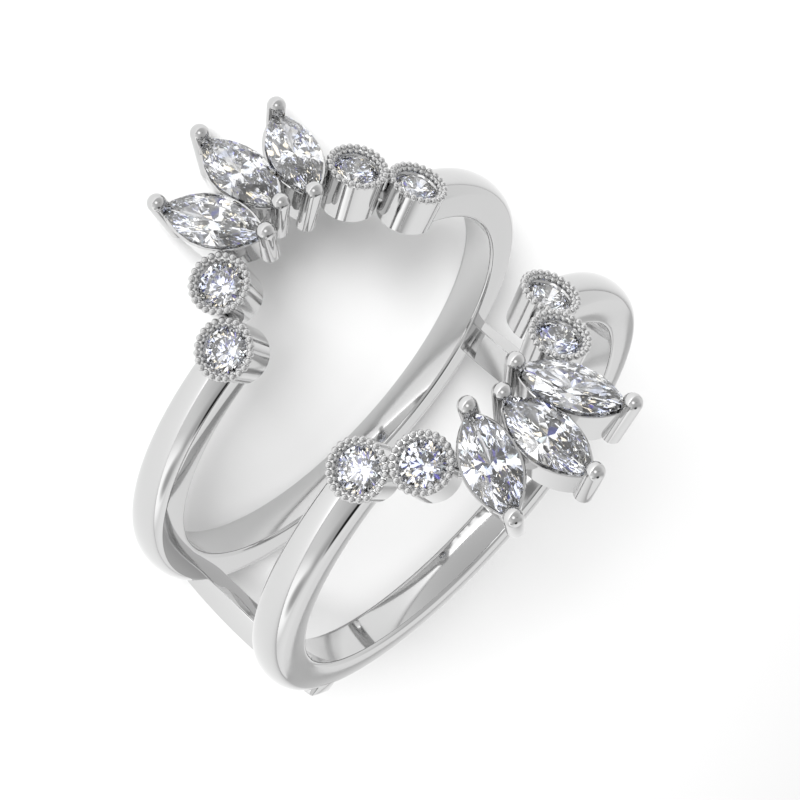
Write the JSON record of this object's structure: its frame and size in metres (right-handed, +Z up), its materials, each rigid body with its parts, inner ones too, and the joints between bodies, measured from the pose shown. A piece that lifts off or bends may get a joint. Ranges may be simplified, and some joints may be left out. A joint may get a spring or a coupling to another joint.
{
  "type": "ring guard",
  "caption": "White metal ring guard: twin round-topped bands joined by bridge bars, each opening at the crown into a fan of marquise stones with round stones in beaded bezels.",
  "frame": {"origin": "middle of the bounding box in plan, on the surface the ring lies on", "axes": "+X across the hand, +Y from the crown towards the underside of the finger, +Z up; the finger axis leans from +Z towards +Y"},
  "size_m": [0.0206, 0.0246, 0.0196],
  "materials": {
    "polished_white_gold": "polished",
    "diamond": "faceted, clear"
  },
  "bodies": {
    "root": {"ring_frame": "polished_white_gold", "marquise_front_1": "diamond", "marquise_front_2": "diamond", "marquise_front_3": "diamond", "marquise_back_1": "diamond", "marquise_back_2": "diamond", "marquise_back_3": "diamond", "round_front_1": "diamond", "round_front_2": "diamond", "round_front_3": "diamond", "round_front_4": "diamond", "round_back_1": "diamond", "round_back_2": "diamond", "round_back_3": "diamond", "round_back_4": "diamond"}
  },
  "joints": []
}
